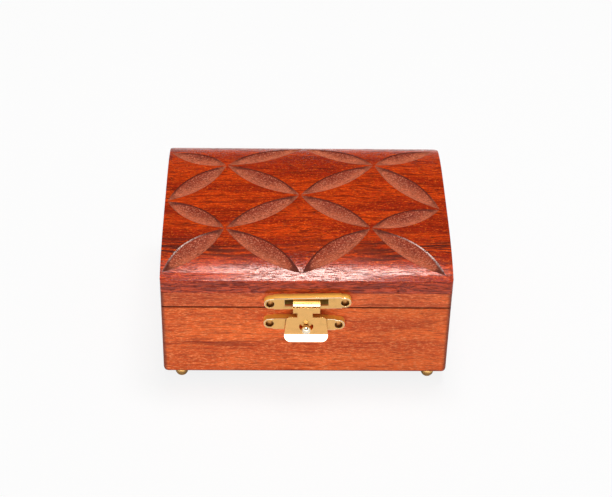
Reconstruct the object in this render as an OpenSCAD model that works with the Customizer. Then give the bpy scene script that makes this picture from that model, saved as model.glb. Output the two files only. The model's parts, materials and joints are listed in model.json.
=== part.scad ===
// Small lacquered wooden dice box with a carved, domed lid.
// The lid swings on two mortised butt hinges at the back, and a pressed brass
// hasp on the lid drops over a ball stud on the base.
// Millimetres.  +X right, -Y front, +Z up.  The origin is on the surface that
// the feet stand on, in the middle of the whole object's width and depth.

/* [Box] */
// Width of the box, left to right
box_w = 102; // [70:1:160]
// Depth of the box, front face to back face
box_d = 79.5; // [55:0.5:130]
// Height of the base, from its bottom edge to the parting line
base_h = 30.7; // [20:0.1:60]
// Thickness of the four base walls and of the lid rails
wall = 6; // [5.5:0.1:8]
// Thickness of the bottom board
floor_t = 3.4; // [2:0.1:6]
// Thickness of the felt lining on the bottom board
felt_t = 0.8; // [0.4:0.1:2]
// Gap between the lining and the walls
felt_gap = 0.3; // [0.2:0.1:1]
// Gap between base and lid at the parting line
parting_gap = 0.3; // [0.2:0.05:0.6]

/* [Lid] */
// Height of the rails under the carved board
rail_h = 6.6; // [6.2:0.1:12]
// Thickness of the carved board at its front and back edges
board_edge = 5.4; // [3:0.1:9]
// Rise of the board's dome above those edges
dome_rise = 4.7; // [1:0.1:8]
// How flat the dome is in the middle, from a parabola to nearly flat
dome_power = 4; // [2:0.5:6]
// How far the lid opens, where its bevelled back edge meets that of the base
lid_opens = 105; // [90:1:110]

/* [Carving] */
// Spacing of the pattern's points across the lid
carve_pitch_x = 24.7; // [16:0.1:30]
// Spacing of the pattern's points from front to back
carve_pitch_y = 18.9; // [12:0.1:24]
// Distance of the pattern's front points from the front face
carve_front = 2.6; // [1.5:0.1:5]
// Width of one petal
petal_w = 7.9; // [3:0.1:10]
// Depth of one petal
petal_deep = 1.4; // [0.4:0.1:2]
// Bare wood left between a petal's tip and its point
petal_tip_gap = 0.7; // [0:0.1:2]

/* [Feet] */
// Diameter of the ball feet
foot_d = 4.6; // [3:0.1:8]
// Flat worn on the bottom of each ball
foot_flat = 0.15; // [0.1:0.05:0.4]
// Distance of the feet from the side faces
foot_in_x = 6.3; // [4:0.1:12]
// Distance of the feet from the front and back faces
foot_in_y = 4; // [3:0.1:5]
// Length of a foot's pin in the wood
foot_pin = 7; // [3:0.5:12]

/* [Brass plates] */
// Thickness of the pressed brass
sheet = 0.5; // [0.4:0.05:0.7]
// How far the raised plates stand off the wood
plate_deep = 2.5; // [2.3:0.1:4]
// Width of the hasp plate on the lid, over its round ends
hasp_plate_w = 30.4; // [26:0.1:40]
// Height of the hasp plate
hasp_plate_h = 4.95; // [4.9:0.05:6]
// Height of the hasp plate's bottom edge above the parting line
hasp_plate_up = 1.5; // [1.2:0.1:1.6]
// Sideways place of the hasp plate
hasp_plate_x = 0.4; // [-2:0.1:2]
// Tilt of the hasp plate, which was nailed on by eye
hasp_plate_tilt = 1.6; // [-2:0.1:2]
// Width of the catch plate on the base, over its round ends
catch_plate_w = 28.6; // [24:0.1:40]
// Height of the catch plate
catch_plate_h = 5; // [4.6:0.1:6]
// Distance of the catch plate's middle below the parting line
catch_down = 5.6; // [5:0.1:7]
// Sideways place of the catch plate
catch_plate_x = -0.7; // [-2:0.1:2]
// Tilt of the catch plate
catch_plate_tilt = -1.1; // [-2:0.1:2]
// Diameter of the round ends of both plates
lobe_d = 4.3; // [4:0.1:4.8]
// How far the straight part of a plate reaches past its nails' centres
lobe_step = 1.2; // [0:0.1:2]

/* [Hasp] */
// Height of the plate's bar, which the hasp turns on
bar_h = 1.3; // [1:0.05:1.5]
// Length of the slot above the bar
slot_w = 15.3; // [11:0.1:18]
// Outer radius of the hasp's curl
curl_r = 2.3; // [2:0.05:2.4]
// Width of the hasp's shank and curl
shank_w = 9.4; // [6:0.1:10]
// Width of the neck below the shank
neck_w = 5.3; // [3:0.1:6]
// Sideways place of the neck
neck_x = -0.5; // [-1:0.1:1]
// Width of the hasp's body at its shoulders
body_top_w = 14; // [11:0.1:18]
// Width of the hasp's body at its lip
body_low_w = 15.4; // [12:0.1:20]
// Distance from the turning axis down to the bottom of the shank
shank_end = 1.55; // [1.45:0.05:2.6]
// Distance from the turning axis down to the shoulders
shoulder_start = 3.55; // [3.2:0.05:4]
// Distance from the turning axis down to the bend of the lip
lip_start = 12.1; // [11.7:0.1:14]
// Length of the flared lip
lip_long = 2.9; // [1:0.1:4]
// Flare of the lip from the flat of the hasp
lip_angle = 42; // [20:1:60]
// Diameter of the hole over the stud
hole_d = 5; // [4.6:0.1:5.4]
// Distance from the turning axis down to the hole's centre
hole_down = 8.15; // [7.9:0.05:8.4]
// Lean of the hanging hasp towards the box
hasp_lean = 4.4; // [0:0.1:4.6]
// Diameter of the stud's ball
stud_ball_d = 3.3; // [2.4:0.1:3.6]
// Diameter of the stud's post
stud_post_d = 1.9; // [1.2:0.1:2.2]
// Distance of the ball's centre from the wood
stud_reach = 5.4; // [5:0.1:6]

/* [Nails] */
// Diameter of the dimple round each plate nail
dimple_d = 2.9; // [2.6:0.1:3.1]
// Depth of the dimple
dimple_deep = 1.2; // [0.8:0.1:1.6]
// Diameter of a plate nail's head
nail_head_d = 2.2; // [1.6:0.1:2.4]
// Diameter of a plate nail's shank
nail_d = 1; // [0.6:0.1:1.2]
// Length of a plate nail in the wood
nail_long = 4; // [2:0.5:5]

/* [Hinges] */
// Length of each hinge
hinge_w = 16; // [12:0.5:24]
// Distance of each hinge's middle from the middle of the box
hinge_x = 26; // [15:0.5:26]
// Distance of the hinge axis from the back face
axis_in = 1.8; // [1.7:0.1:2.2]
// Diameter of the hinge barrel
barrel_d = 3; // [2.6:0.1:3.4]
// Thickness of the hinge leaves
leaf_t = 0.6; // [0.4:0.05:0.8]
// Length of a leaf from the hinge axis
leaf_reach = 3.9; // [3:0.1:4]
// Diameter of the hinge pins
pin_d = 1.4; // [1:0.1:1.5]
// Running clearance between pin and lid knuckle, on the radius
pin_gap = 0.05; // [0.02:0.01:0.1]
// Gap between neighbouring knuckles
knuckle_gap = 0.2; // [0.1:0.05:0.4]
// Share of the hinge taken by the lid's middle knuckle
middle_share = 0.42; // [0.3:0.01:0.5]
// Clearance of the hinge recesses in the wood
mortise_gap = 0.15; // [0.1:0.05:0.3]

/* [Hidden] */
$fn = 48;
eps = 0.01;

// Heights
foot_drop = foot_d - foot_flat;
base_z = foot_drop;
part_z = base_z + base_h;
rim_z = part_z - parting_gap / 2;
lid_z = part_z + parting_gap / 2;
board_z = part_z + rail_h;

// The box stands behind the origin by half of what the stud reaches forward
front_reach = stud_reach + stud_ball_d / 2;
front_y = -box_d / 2 + front_reach / 2;
back_y = front_y + box_d;
inner_front_y = front_y + wall;
inner_back_y = back_y - wall;
inner_w = box_w - 2 * wall;
inner_d = box_d - 2 * wall;

// Lid hinge: both bevels start at the axis and meet when the lid is open
axis_y = back_y - axis_in;
stop_play = 0.4;
bevel_angle = (lid_opens + stop_play) / 2;
bevel_drop = axis_in * tan(bevel_angle);
bevel_start = parting_gap / 2 / tan(bevel_angle);
barrel_r = barrel_d / 2;
pin_r = pin_d / 2;
middle_w = hinge_w * middle_share;
side_w = (hinge_w - middle_w) / 2 - knuckle_gap;
side_x = (hinge_w - side_w) / 2;
leaf_nail_x = hinge_w / 3.5;
leaf_nail_y = (leaf_reach + barrel_r) / 2;
leaf_nail_r = 0.4;
leaf_nail_head_r = 0.85;
leaf_nail_head_t = 0.3;
leaf_nail_long = 3.5;

// Latch
// The curl hangs round the bar, clear of the wood behind it
curl_back_gap = 0.15;
curl_play = 0.25;
axis_up = curl_r - sheet - curl_play;
slot_top = axis_up + curl_r + 0.5;
pivot_y = front_y - max(curl_r + curl_back_gap, plate_deep - sheet / 2);
pivot_z = part_z + hasp_plate_up + axis_up;
plate_mid_z = part_z + hasp_plate_up + hasp_plate_h / 2;
catch_z = part_z - catch_down;
lobe_r = lobe_d / 2;
nail_r = nail_d / 2;
nail_head_t = 0.6;
dimple_wall = 0.35;
foot_pin_r = 0.8;
foot_neck_r = 1.3;
foot_neck_h = 0.4;

// How far the flat reaches above the turning axis, in front of the curl
curl_edge = 1.15;
// The seam where the curl's end comes down to the flat
seam = 0.28;
// The flat stands a little proud of the curl, and this is its back face
flat_back_y = -curl_r - 0.05 + sheet;
lip_corner = 2.2;
shoulder_corner = 1.2;

// Carving: the pattern's thirteen points in rows of three and two, from the
// front.  Each has the drift of a hand-laid pattern: [right, back] in mm.
ROW_DRIFT = [
    [[-1.1, 0.2], [-1.9, 0.1], [-0.7, -0.5]],
    [[-4.2, 2.4], [-1.6, 2.9]],
    [[-0.9, -1.0], [-2.0, 3.2], [-0.8, -5.1]],
    [[-4.4, 3.0], [1.1, 3.7]],
    [[-0.9, -5.9], [-0.5, -0.1], [-0.4, -2.5]]
];
LONG_ROW = 3;
petal_steps = 10;
petal_arc_steps = 6;
dome_steps = 26;
cut_over = 1.2;

// ---- Shared shapes -------------------------------------------------------

// A round bar along X, centred on the given place
module bar_x(r, long, y, z) {
    translate([-long / 2, y, z])
        rotate([0, 90, 0])
            cylinder(r = r, h = long);
}

// A round bar into the wood along +Y, from the given place
module bar_y(r, long) {
    rotate([-90, 0, 0])
        cylinder(r = r, h = long);
}

// Extrudes an outline drawn in Y and Z along X, centred
module along_x(long) {
    translate([-long / 2, 0, 0])
        rotate([90, 0, 90])
            linear_extrude(long)
                children();
}

// Extrudes an outline drawn in X and Z towards the front, from Y = 0
module towards_front(deep) {
    rotate([90, 0, 0])
        linear_extrude(deep)
            children();
}

// Places what is drawn for one hinge at both hinges, or at one of them
module at_hinge(side) {
    translate([side * hinge_x, 0, 0])
        children();
}

// Places what is drawn for the hasp plate, whose centre is at the origin
module at_hasp_plate() {
    translate([hasp_plate_x, front_y, plate_mid_z])
        rotate([0, -hasp_plate_tilt, 0])
            children();
}

// Places what is drawn for the catch plate, whose centre is at the origin
module at_catch_plate() {
    translate([catch_plate_x, front_y, catch_z])
        rotate([0, -catch_plate_tilt, 0])
            children();
}

// Both nails of a plate of the given width
module at_plate_nails(plate_w) {
    for (side = [-1, 1])
        translate([side * (plate_w / 2 - lobe_r), 0, 0])
            children();
}

// ---- Wooden base ---------------------------------------------------------

// A corner of the box that takes a foot's pin
module at_foot(side, end) {
    y = end < 0 ? front_y + foot_in_y : back_y - foot_in_y;
    translate([side * (box_w / 2 - foot_in_x), y, 0])
        children();
}

module foot_holes() {
    for (side = [-1, 1])
        for (end = [-1, 1])
            at_foot(side, end)
                translate([0, 0, base_z - eps])
                    cylinder(r = foot_pin_r, h = foot_pin + eps);
}

module base_front_wall() {
    color("#c0512a")
        difference() {
            translate([-box_w / 2, front_y, base_z])
                cube([box_w, wall, rim_z - base_z]);
            foot_holes();
            at_catch_plate()
                at_plate_nails(catch_plate_w)
                    bar_y(nail_r, nail_long);
            translate([0, front_y, catch_z])
                bar_y(stud_post_d / 2, nail_long);
        }
}

// The back wall's outline has the bevel that the open lid rests on
module base_back_wall() {
    color("#b54a26")
        difference() {
            along_x(box_w)
                polygon([
                    [inner_back_y, base_z],
                    [back_y, base_z],
                    [back_y, part_z - bevel_drop],
                    [axis_y + bevel_start, rim_z],
                    [inner_back_y, rim_z]
                ]);
            foot_holes();
            for (side = [-1, 1])
                at_hinge(side)
                    base_mortise();
        }
}

module base_side_wall(side) {
    x = side < 0 ? -box_w / 2 : box_w / 2 - wall;
    color("#b84d28")
        difference() {
            translate([x, inner_front_y, base_z])
                cube([wall, inner_d, rim_z - base_z]);
            foot_holes();
        }
}

module base_floor() {
    color("#a04322")
        translate([-inner_w / 2, inner_front_y, base_z])
            cube([inner_w, inner_d, floor_t]);
}

module base_felt_lining() {
    color("#5a1620")
        translate([-inner_w / 2 + felt_gap, inner_front_y + felt_gap, base_z + floor_t])
            cube([inner_w - 2 * felt_gap, inner_d - 2 * felt_gap, felt_t]);
}

// A brass ball with a neck, and the pin that holds it in the wood
module foot(side, end) {
    color("#c9a14a")
        at_foot(side, end) {
            intersection() {
                translate([0, 0, foot_d / 2 - foot_flat])
                    sphere(d = foot_d);
                translate([-foot_d, -foot_d, 0])
                    cube([2 * foot_d, 2 * foot_d, base_z]);
            }
            translate([0, 0, base_z - foot_neck_h])
                cylinder(r = foot_neck_r, h = foot_neck_h);
            translate([0, 0, base_z - foot_neck_h])
                cylinder(r = foot_pin_r, h = foot_pin + foot_neck_h);
        }
}

// ---- Hinges --------------------------------------------------------------

// One side of a hinge recess: the barrel's pocket and the leaf's mortise.
// The leaf lies under the parting line in the base, over it in the lid.
module base_mortise() {
    bar_x(barrel_r + mortise_gap, hinge_w + 2 * mortise_gap, axis_y, part_z);
    translate([-hinge_w / 2 - mortise_gap, axis_y - leaf_reach - mortise_gap, rim_z - leaf_t])
        cube([hinge_w + 2 * mortise_gap, leaf_reach, leaf_t + 1]);
    leaf_nails_at(-1)
        cylinder(r = leaf_nail_r, h = leaf_nail_long);
}

module lid_mortise() {
    bar_x(barrel_r + mortise_gap, hinge_w + 2 * mortise_gap, axis_y, part_z);
    translate([-hinge_w / 2 - mortise_gap, axis_y - leaf_reach - mortise_gap, lid_z - 1])
        cube([hinge_w + 2 * mortise_gap, leaf_reach, leaf_t + 1]);
    leaf_nails_at(1)
        cylinder(r = leaf_nail_r, h = leaf_nail_long);
}

// Places what is drawn upwards from a leaf's open face at its two nails:
// way is 1 into the lid and -1 into the base
module leaf_nails_at(way) {
    for (side = [-1, 1])
        translate([side * leaf_nail_x, axis_y - leaf_nail_y, way < 0 ? rim_z : lid_z])
            rotate([way < 0 ? 180 : 0, 0, 0])
                children();
}

// A hinge knuckle with its bore
module knuckle(x, long, bore_r) {
    translate([x, 0, 0])
        difference() {
            bar_x(barrel_r, long, axis_y, part_z);
            bar_x(bore_r, long + 1, axis_y, part_z);
        }
}

// The flat of a leaf, cut back where the other leaf's knuckles turn
module leaf_flat(z, other_x, other_w) {
    difference() {
        translate([-hinge_w / 2, axis_y - leaf_reach, z])
            cube([hinge_w, leaf_reach, leaf_t]);
        for (x = other_x)
            translate([x, 0, 0])
                bar_x(barrel_r + knuckle_gap, other_w + 2 * knuckle_gap, axis_y, part_z);
        bar_x(pin_r + pin_gap, hinge_w + 1, axis_y, part_z);
    }
}

module leaf_nail_cuts(way) {
    leaf_nails_at(way) {
        translate([0, 0, -eps])
            cylinder(r = leaf_nail_head_r, h = leaf_nail_head_t + eps);
        cylinder(r = leaf_nail_r, h = leaf_t + 1);
    }
}

module hinge_base_leaf(side) {
    color("#c9a14a")
        at_hinge(side) {
            difference() {
                leaf_flat(rim_z - leaf_t, [0], middle_w);
                leaf_nail_cuts(-1);
            }
            for (x = [-side_x, side_x])
                knuckle(x, side_w, pin_r);
        }
}

module hinge_lid_leaf(side) {
    color("#c9a14a")
        at_hinge(side) {
            difference() {
                leaf_flat(lid_z, [-side_x, side_x], side_w);
                leaf_nail_cuts(1);
            }
            knuckle(0, middle_w, pin_r + pin_gap);
        }
}

module hinge_pin(side) {
    color("#b08c3c")
        at_hinge(side)
            bar_x(pin_r, hinge_w, axis_y, part_z);
}

module hinge_nails(way) {
    color("#b08c3c")
        for (side = [-1, 1])
            at_hinge(side)
                leaf_nails_at(way) {
                    cylinder(r = leaf_nail_head_r, h = leaf_nail_head_t);
                    cylinder(r = leaf_nail_r, h = leaf_nail_long);
                }
}

// ---- Wooden lid ----------------------------------------------------------

// Height of the dome above the board's edges, at a place front to back
function dome(y) =
    dome_rise * (1 - pow(abs(2 * (y - front_y) / box_d - 1), dome_power));

// One of the pattern's points: rows of three and of two take turns
function carve_point(row, column) =
    let (count = len(ROW_DRIFT[row]))
    [
        (2 * column + 1 - count) * carve_pitch_x + ROW_DRIFT[row][column][0],
        front_y + carve_front + row * carve_pitch_y + ROW_DRIFT[row][column][1]
    ];

// A petal's half width along its length, and its depth across its width
function petal_half(u) = petal_w / 2 * (1 - u * u) + 0.02;
tool_r = (petal_w * petal_w / 4 + petal_deep * petal_deep) / (2 * petal_deep);
function petal_floor(v, half) =
    sqrt(tool_r * tool_r - v * v) - sqrt(tool_r * tool_r - half * half);

// Points of the ring round a petal cutter at one place along it: along the
// carved floor from one side to the other, then back above the board
function petal_ring(from, along, across, u) =
    let (
        half = petal_half(u),
        middle = from + along * (u + 1) / 2
    )
    concat(
        [
            for (i = [0 : petal_arc_steps])
                let (
                    v = half * (2 * i / petal_arc_steps - 1),
                    place = middle + across * v
                )
                [place[0], place[1], dome(place[1]) - petal_floor(v, half)]
        ],
        [
            for (v = [half, -half])
                let (place = middle + across * v)
                [place[0], place[1], dome(place[1]) + cut_over]
        ]
    );

// One petal, cut between two of the pattern's points
module petal_cutter(start, end) {
    span = end - start;
    long = norm(span);
    unit = span / long;
    from = start + unit * petal_tip_gap;
    along = span - 2 * unit * petal_tip_gap;
    across = [-unit[1], unit[0]];
    ring_size = petal_arc_steps + 3;
    points = [
        for (step = [0 : petal_steps])
            each petal_ring(from, along, across, 2 * step / petal_steps - 1)
    ];
    sides = [
        for (step = [0 : petal_steps - 1], i = [0 : ring_size - 1])
            let (
                a = step * ring_size + i,
                b = step * ring_size + (i + 1) % ring_size
            )
            each [[a, a + ring_size, b], [b, a + ring_size, b + ring_size]]
    ];
    first = [for (i = [0 : ring_size - 1]) i];
    last = [for (i = [ring_size - 1 : -1 : 0]) petal_steps * ring_size + i];
    polyhedron(points, concat(sides, [first, last]), convexity = 4);
}

// The board's outline from front to back, extruded, less the sixteen petals
module lid_board() {
    color("#b5391c")
        translate([0, 0, board_z + board_edge])
            difference() {
                along_x(box_w)
                    polygon(concat(
                        [[back_y, -board_edge], [front_y, -board_edge]],
                        [
                            for (i = [0 : dome_steps])
                                let (y = front_y + box_d * i / dome_steps)
                                [y, dome(y)]
                        ]
                    ));
                for (row = [0 : len(ROW_DRIFT) - 2])
                    row_of_petals(row);
            }
}

// The petals between one row of points and the next: each point of the
// shorter row joins the two points beside it in the longer row
module row_of_petals(row) {
    long_first = len(ROW_DRIFT[row]) == LONG_ROW;
    long_row = long_first ? row : row + 1;
    short_row = long_first ? row + 1 : row;
    for (column = [0 : LONG_ROW - 2])
        for (beside = [0, 1])
            petal_cutter(
                carve_point(short_row, column),
                carve_point(long_row, column + beside)
            );
}

module lid_front_rail() {
    color("#c25434")
        difference() {
            translate([-box_w / 2, front_y, lid_z])
                cube([box_w, wall, board_z - lid_z]);
            at_hasp_plate()
                at_plate_nails(hasp_plate_w)
                    bar_y(nail_r, nail_long);
        }
}

module lid_back_rail() {
    color("#b54a26")
        difference() {
            along_x(box_w)
                polygon([
                    [inner_back_y, lid_z],
                    [axis_y + bevel_start, lid_z],
                    [back_y, part_z + bevel_drop],
                    [back_y, board_z],
                    [inner_back_y, board_z]
                ]);
            for (side = [-1, 1])
                at_hinge(side)
                    lid_mortise();
        }
}

module lid_side_rail(side) {
    x = side < 0 ? -box_w / 2 : box_w / 2 - wall;
    color("#b84d28")
        translate([x, inner_front_y, lid_z])
            cube([wall, inner_d, board_z - lid_z]);
}

// ---- Brass latch ---------------------------------------------------------

// Outline of a raised plate, drawn in by the same amount all round
module plate_outline(w, h, inset) {
    r = lobe_r - inset;
    straight_w = w - 2 * lobe_r - 2 * lobe_step;
    square([straight_w - 2 * inset, h - 2 * inset], center = true);
    square([w - 2 * lobe_r, 2 * r], center = true);
    for (side = [-1, 1])
        translate([side * (w / 2 - lobe_r), 0])
            circle(r = r);
}

// A plate pressed into a shallow tray, open towards the wood, with a dimple
// at each end for its nail
module raised_plate(w, h) {
    difference() {
        union() {
            difference() {
                towards_front(plate_deep)
                    plate_outline(w, h, 0);
                translate([0, eps, 0])
                    towards_front(plate_deep - sheet + eps)
                        plate_outline(w, h, sheet);
            }
            at_plate_nails(w)
                translate([0, -plate_deep, 0])
                    bar_y(dimple_d / 2 + dimple_wall, dimple_deep + sheet);
        }
        at_plate_nails(w) {
            translate([0, -plate_deep - eps, 0])
                bar_y(dimple_d / 2, dimple_deep + eps);
            translate([0, -plate_deep, 0])
                bar_y(nail_r, plate_deep + 1);
        }
    }
}

// The lid's plate has a slot that leaves a flat bar along its bottom edge
module hasp_plate() {
    color("#d8a94a")
        at_hasp_plate()
            difference() {
                raised_plate(hasp_plate_w, hasp_plate_h);
                translate([
                    -slot_w / 2 - hasp_plate_x,
                    -plate_deep - 1,
                    -hasp_plate_h / 2 + bar_h
                ])
                    cube([slot_w, plate_deep, slot_top - bar_h]);
                // The tray's bottom wall goes under the slot, for the curl
                translate([
                    -slot_w / 2 - hasp_plate_x,
                    -plate_deep + sheet,
                    -hasp_plate_h / 2 - 1
                ])
                    cube([slot_w, plate_deep, sheet + 1.2]);
            }
}

module catch_plate() {
    color("#d8a94a")
        difference() {
            at_catch_plate()
                raised_plate(catch_plate_w, catch_plate_h);
            translate([0, front_y - plate_deep - 1, catch_z])
                bar_y(stud_post_d / 2, plate_deep);
        }
}

module catch_stud() {
    color("#e0b95c")
        translate([0, front_y, catch_z]) {
            translate([0, -stud_reach, 0])
                sphere(d = stud_ball_d);
            translate([0, -stud_reach, 0])
                bar_y(stud_post_d / 2, stud_reach + nail_long);
        }
}

// Two nails, each with its head on the floor of a dimple
module plate_nails(w) {
    at_plate_nails(w) {
        translate([0, -plate_deep + dimple_deep - nail_head_t, 0])
            bar_y(nail_head_d / 2, nail_head_t);
        translate([0, -plate_deep + dimple_deep - nail_head_t, 0])
            bar_y(nail_r, plate_deep - dimple_deep + nail_head_t + nail_long);
    }
}

module catch_plate_nails() {
    color("#a9743a")
        at_catch_plate()
            plate_nails(catch_plate_w);
}

module hasp_plate_nails() {
    color("#a9743a")
        at_hasp_plate()
            plate_nails(hasp_plate_w);
}

// The flat of the hasp seen from the front, with the turning axis at the
// origin: shank, neck and body
module hasp_outline() {
    translate([-shank_w / 2, -shank_end])
        square([shank_w, shank_end + curl_edge]);
    translate([neck_x - neck_w / 2, -shoulder_start - 1])
        square([neck_w, shoulder_start - shank_end + 2]);
    for (side = [-1, 1])
        translate([side * (body_top_w / 2 - shoulder_corner), -shoulder_start - shoulder_corner])
            circle(r = shoulder_corner);
    polygon([
        [-body_top_w / 2 + shoulder_corner, -shoulder_start],
        [body_top_w / 2 - shoulder_corner, -shoulder_start],
        [body_top_w / 2, -shoulder_start - shoulder_corner],
        [body_low_w / 2, -lip_start],
        [-body_low_w / 2, -lip_start],
        [-body_top_w / 2, -shoulder_start - shoulder_corner]
    ]);
}

// The curl round the bar, open along its seam
module hasp_curl() {
    difference() {
        bar_x(curl_r, shank_w, 0, 0);
        bar_x(curl_r - sheet, shank_w + 1, 0, 0);
        translate([-shank_w, -2 * curl_r, curl_edge])
            cube([2 * shank_w, 1.7 * curl_r, seam]);
    }
}

// The flared lip, with round corners, bent out from the bottom of the flat
module hasp_lip() {
    half = body_low_w / 2;
    translate([0, flat_back_y, -lip_start])
        rotate([-lip_angle, 0, 0]) {
            towards_front(sheet) {
                translate([-half, -lip_long + lip_corner])
                    square([2 * half, lip_long - lip_corner]);
                translate([-half + lip_corner, -lip_long])
                    square([2 * (half - lip_corner), lip_long]);
                for (side = [-1, 1])
                    translate([side * (half - lip_corner), -lip_long + lip_corner])
                        intersection() {
                            circle(r = lip_corner);
                            translate([side < 0 ? -lip_corner : 0, -lip_corner])
                                square(lip_corner);
                        }
            }
        }
}

module hasp() {
    color("#e2b65a")
        translate([0, pivot_y, pivot_z])
            rotate([hasp_lean, 0, 0])
                difference() {
                    union() {
                        hasp_curl();
                        translate([0, flat_back_y, 0])
                            towards_front(sheet)
                                hasp_outline();
                        hasp_lip();
                    }
                    translate([0, -curl_r - 1, -hole_down])
                        bar_y(hole_d / 2, 2 * sheet + 1);
                }
}

// ---- Nodes ---------------------------------------------------------------

base_front_wall();
base_back_wall();
base_side_wall(-1);  // base_left_wall
base_side_wall(1);  // base_right_wall
base_floor();
base_felt_lining();
foot(-1, -1);  // front_left_foot
foot(1, -1);  // front_right_foot
foot(-1, 1);  // back_left_foot
foot(1, 1);  // back_right_foot
catch_plate();
catch_stud();
catch_plate_nails();
hinge_base_leaf(-1);  // left_hinge_base_leaf
hinge_base_leaf(1);  // right_hinge_base_leaf
hinge_pin(-1);  // left_hinge_pin
hinge_pin(1);  // right_hinge_pin
hinge_nails(-1);  // hinge_base_nails
lid_board();
lid_front_rail();
lid_back_rail();
lid_side_rail(-1);  // lid_left_rail
lid_side_rail(1);  // lid_right_rail
hinge_lid_leaf(-1);  // left_hinge_lid_leaf
hinge_lid_leaf(1);  // right_hinge_lid_leaf
hinge_nails(1);  // hinge_lid_nails
hasp_plate();
hasp_plate_nails();
hasp();
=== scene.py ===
import json
import math
import random

import bmesh
import bpy
from mathutils import Matrix, Vector


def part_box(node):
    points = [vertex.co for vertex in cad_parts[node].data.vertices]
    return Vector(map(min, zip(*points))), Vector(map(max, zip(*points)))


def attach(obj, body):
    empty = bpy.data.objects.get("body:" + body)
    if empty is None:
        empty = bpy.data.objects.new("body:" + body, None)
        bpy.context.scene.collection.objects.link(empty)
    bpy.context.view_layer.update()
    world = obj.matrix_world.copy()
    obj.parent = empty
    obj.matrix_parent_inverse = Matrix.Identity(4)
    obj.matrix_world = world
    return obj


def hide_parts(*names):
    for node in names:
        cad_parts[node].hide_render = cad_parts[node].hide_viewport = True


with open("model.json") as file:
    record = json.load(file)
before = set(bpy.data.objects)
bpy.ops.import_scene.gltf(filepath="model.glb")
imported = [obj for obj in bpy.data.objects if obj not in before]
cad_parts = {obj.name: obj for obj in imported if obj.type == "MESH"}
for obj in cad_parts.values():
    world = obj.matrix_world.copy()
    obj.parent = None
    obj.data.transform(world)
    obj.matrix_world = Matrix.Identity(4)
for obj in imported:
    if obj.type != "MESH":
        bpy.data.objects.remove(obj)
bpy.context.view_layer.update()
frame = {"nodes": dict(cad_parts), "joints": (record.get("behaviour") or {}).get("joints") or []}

# ---- Camera ---------------------------------------------------------------
# A long lens, a little left of the box's middle and well above it.  It is
# fitted to the box's corners, and placed from the foot of the front wall, as
# are the box's own sizes.

MM = 0.001
wall_low, wall_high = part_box("base_front_wall")
front_y = wall_low.y
wood_z = wall_low.z
back_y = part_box("base_back_wall")[1].y
box_w = wall_high.x - wall_low.x
box_d = back_y - front_y
part_z = frame["joints"][0]["pos_m"][2]

camera_height = math.radians(38.65)
camera_turn = math.radians(-1.48)
camera_roll = math.radians(1.23)
camera_reach = 579.9 * MM
camera_aim = Vector((-0.55 * MM, front_y, wood_z + 57.3 * MM))

backward = Vector((
    math.sin(camera_turn) * math.cos(camera_height),
    -math.cos(camera_turn) * math.cos(camera_height),
    math.sin(camera_height),
))
level_right = Vector((math.cos(camera_turn), math.sin(camera_turn), 0))
level_up = backward.cross(level_right)
right = level_right * math.cos(camera_roll) + level_up * math.sin(camera_roll)
up = level_up * math.cos(camera_roll) - level_right * math.sin(camera_roll)
camera_data = bpy.data.cameras.new("camera")
camera_data.lens = 100
camera_data.sensor_width = 36
camera = bpy.data.objects.new("camera", camera_data)
camera.matrix_world = Matrix.Translation(camera_aim + backward * camera_reach) @ (
    Matrix((right, up, backward)).transposed().to_4x4()
)
bpy.context.scene.collection.objects.link(camera)
bpy.context.scene.camera = camera
bpy.context.scene.view_settings.view_transform = "Standard"

# ---- Floor, sky and lamps -------------------------------------------------
# A pale table, a soft lamp above, one in front, and one that only shows as the
# streak along the lid's front.  What brass and lacquer mirror of the white
# surround is brighter low in front, and dim by the camera and behind.


class Level:
    """An output of a node, with arithmetic that adds Math nodes."""

    def __init__(self, recipe, socket):
        self.recipe = recipe
        self.socket = socket

    def sum(self, operation, first, second):
        return self.recipe.node("ShaderNodeMath", {0: first, 1: second}, operation=operation)

    def __add__(self, other):
        return self.sum("ADD", self, other)

    def __sub__(self, other):
        return self.sum("SUBTRACT", self, other)

    def __rsub__(self, other):
        return self.sum("SUBTRACT", other, self)

    def __mul__(self, other):
        return self.sum("MULTIPLY", self, other)

    def __pow__(self, other):
        return self.sum("POWER", self, other)

    def size(self):
        """The value without its sign."""
        return self.sum("ABSOLUTE", self, 0)

    __radd__ = __add__
    __rmul__ = __mul__


class Recipe:
    """The nodes of one material, or of the surround."""

    def __init__(self, owner):
        owner.use_nodes = True
        self.owner = owner
        self.tree = owner.node_tree
        self.tree.nodes.clear()

    def node(self, kind, inputs=None, output=0, **settings):
        made = self.tree.nodes.new(kind)
        for name, value in settings.items():
            setattr(made, name, value)
        for name, value in (inputs or {}).items():
            socket = made.inputs[name]
            if isinstance(value, Level):
                self.tree.links.new(value.socket, socket)
            elif socket.type == "RGBA" and len(value) == 3:
                socket.default_value = (*value, 1)
            else:
                socket.default_value = value
        return Level(self, made.outputs[output]) if made.outputs else made

    def axes(self, place):
        """The X, Y and Z of a place or direction."""
        split = self.tree.nodes.new("ShaderNodeSeparateXYZ")
        self.tree.links.new(place.socket, split.inputs[0])
        return [Level(self, axis) for axis in split.outputs]

    def step(self, level, start, end):
        """0 before start, 1 after end, smooth between."""
        return self.node(
            "ShaderNodeMapRange",
            {"Value": level, "From Min": start, "From Max": end},
            interpolation_type="SMOOTHSTEP",
        )

    def blend(self, factor, first, second):
        """The first colour where the factor is 0, the second where it is 1."""
        return self.node(
            "ShaderNodeMix", {0: factor, 6: first, 7: second}, output=2, data_type="RGBA"
        )


floor_half_width = 3
floor_mesh = bpy.data.meshes.new("floor")
floor_bm = bmesh.new()
bmesh.ops.create_grid(floor_bm, x_segments=1, y_segments=1, size=floor_half_width)
floor_bm.to_mesh(floor_mesh)
floor_bm.free()
floor = bpy.data.objects.new("floor", floor_mesh)
bpy.context.scene.collection.objects.link(floor)

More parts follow.
